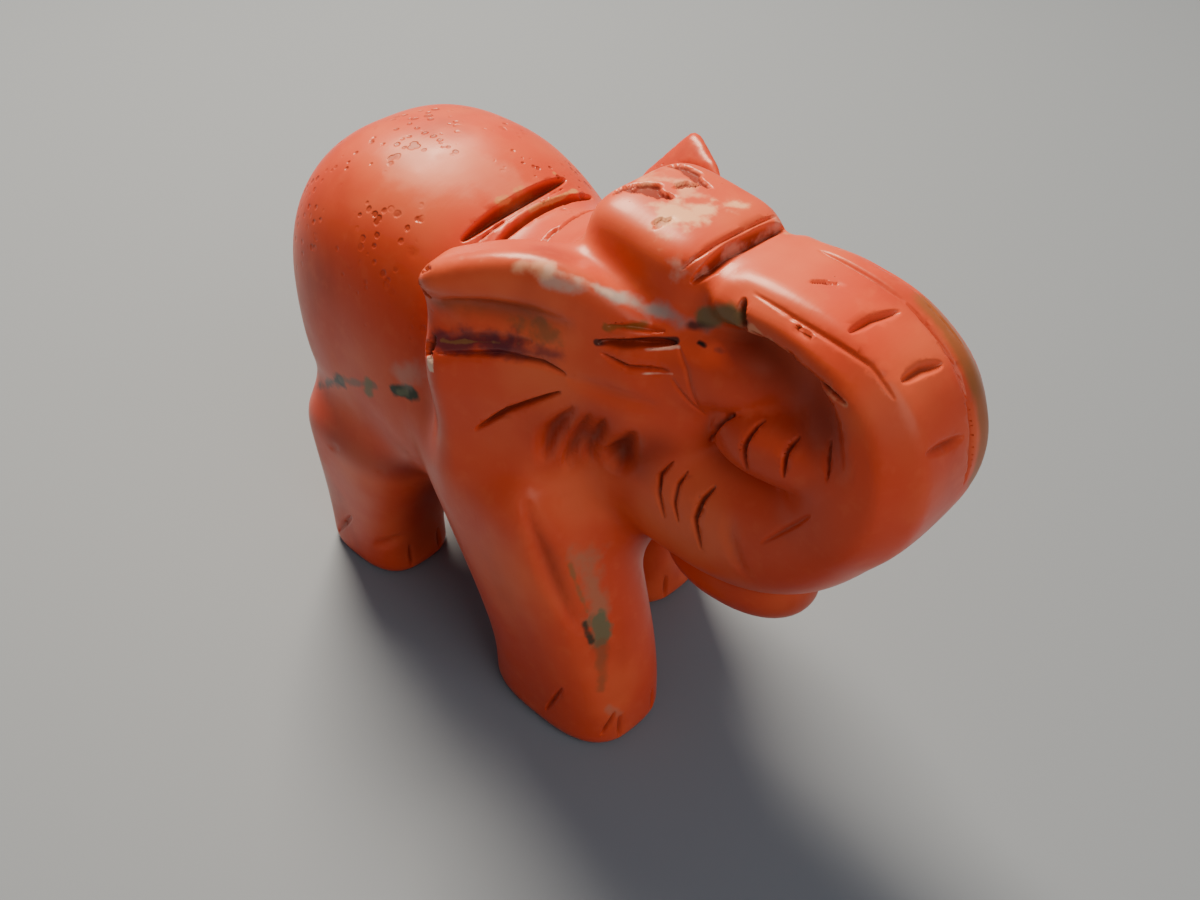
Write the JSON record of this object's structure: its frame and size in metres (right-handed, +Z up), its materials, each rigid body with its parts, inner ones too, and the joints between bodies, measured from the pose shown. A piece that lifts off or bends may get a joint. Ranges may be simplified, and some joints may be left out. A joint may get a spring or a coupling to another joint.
{
  "type": "elephant figurine",
  "caption": "Small carved and polished agate elephant standing on its feet, with its trunk curled up over its forehead.",
  "frame": {"origin": "on the ground, at the middle of the figurine's bounding box", "axes": "+Z up, -Y the way the elephant faces, +X the elephant's left"},
  "size_m": [0.0234, 0.0506, 0.0382],
  "materials": {
    "agate": "polished red agate with a few grey, white and green patches"
  },
  "bodies": {
    "root": {"elephant": "agate"}
  },
  "joints": []
}
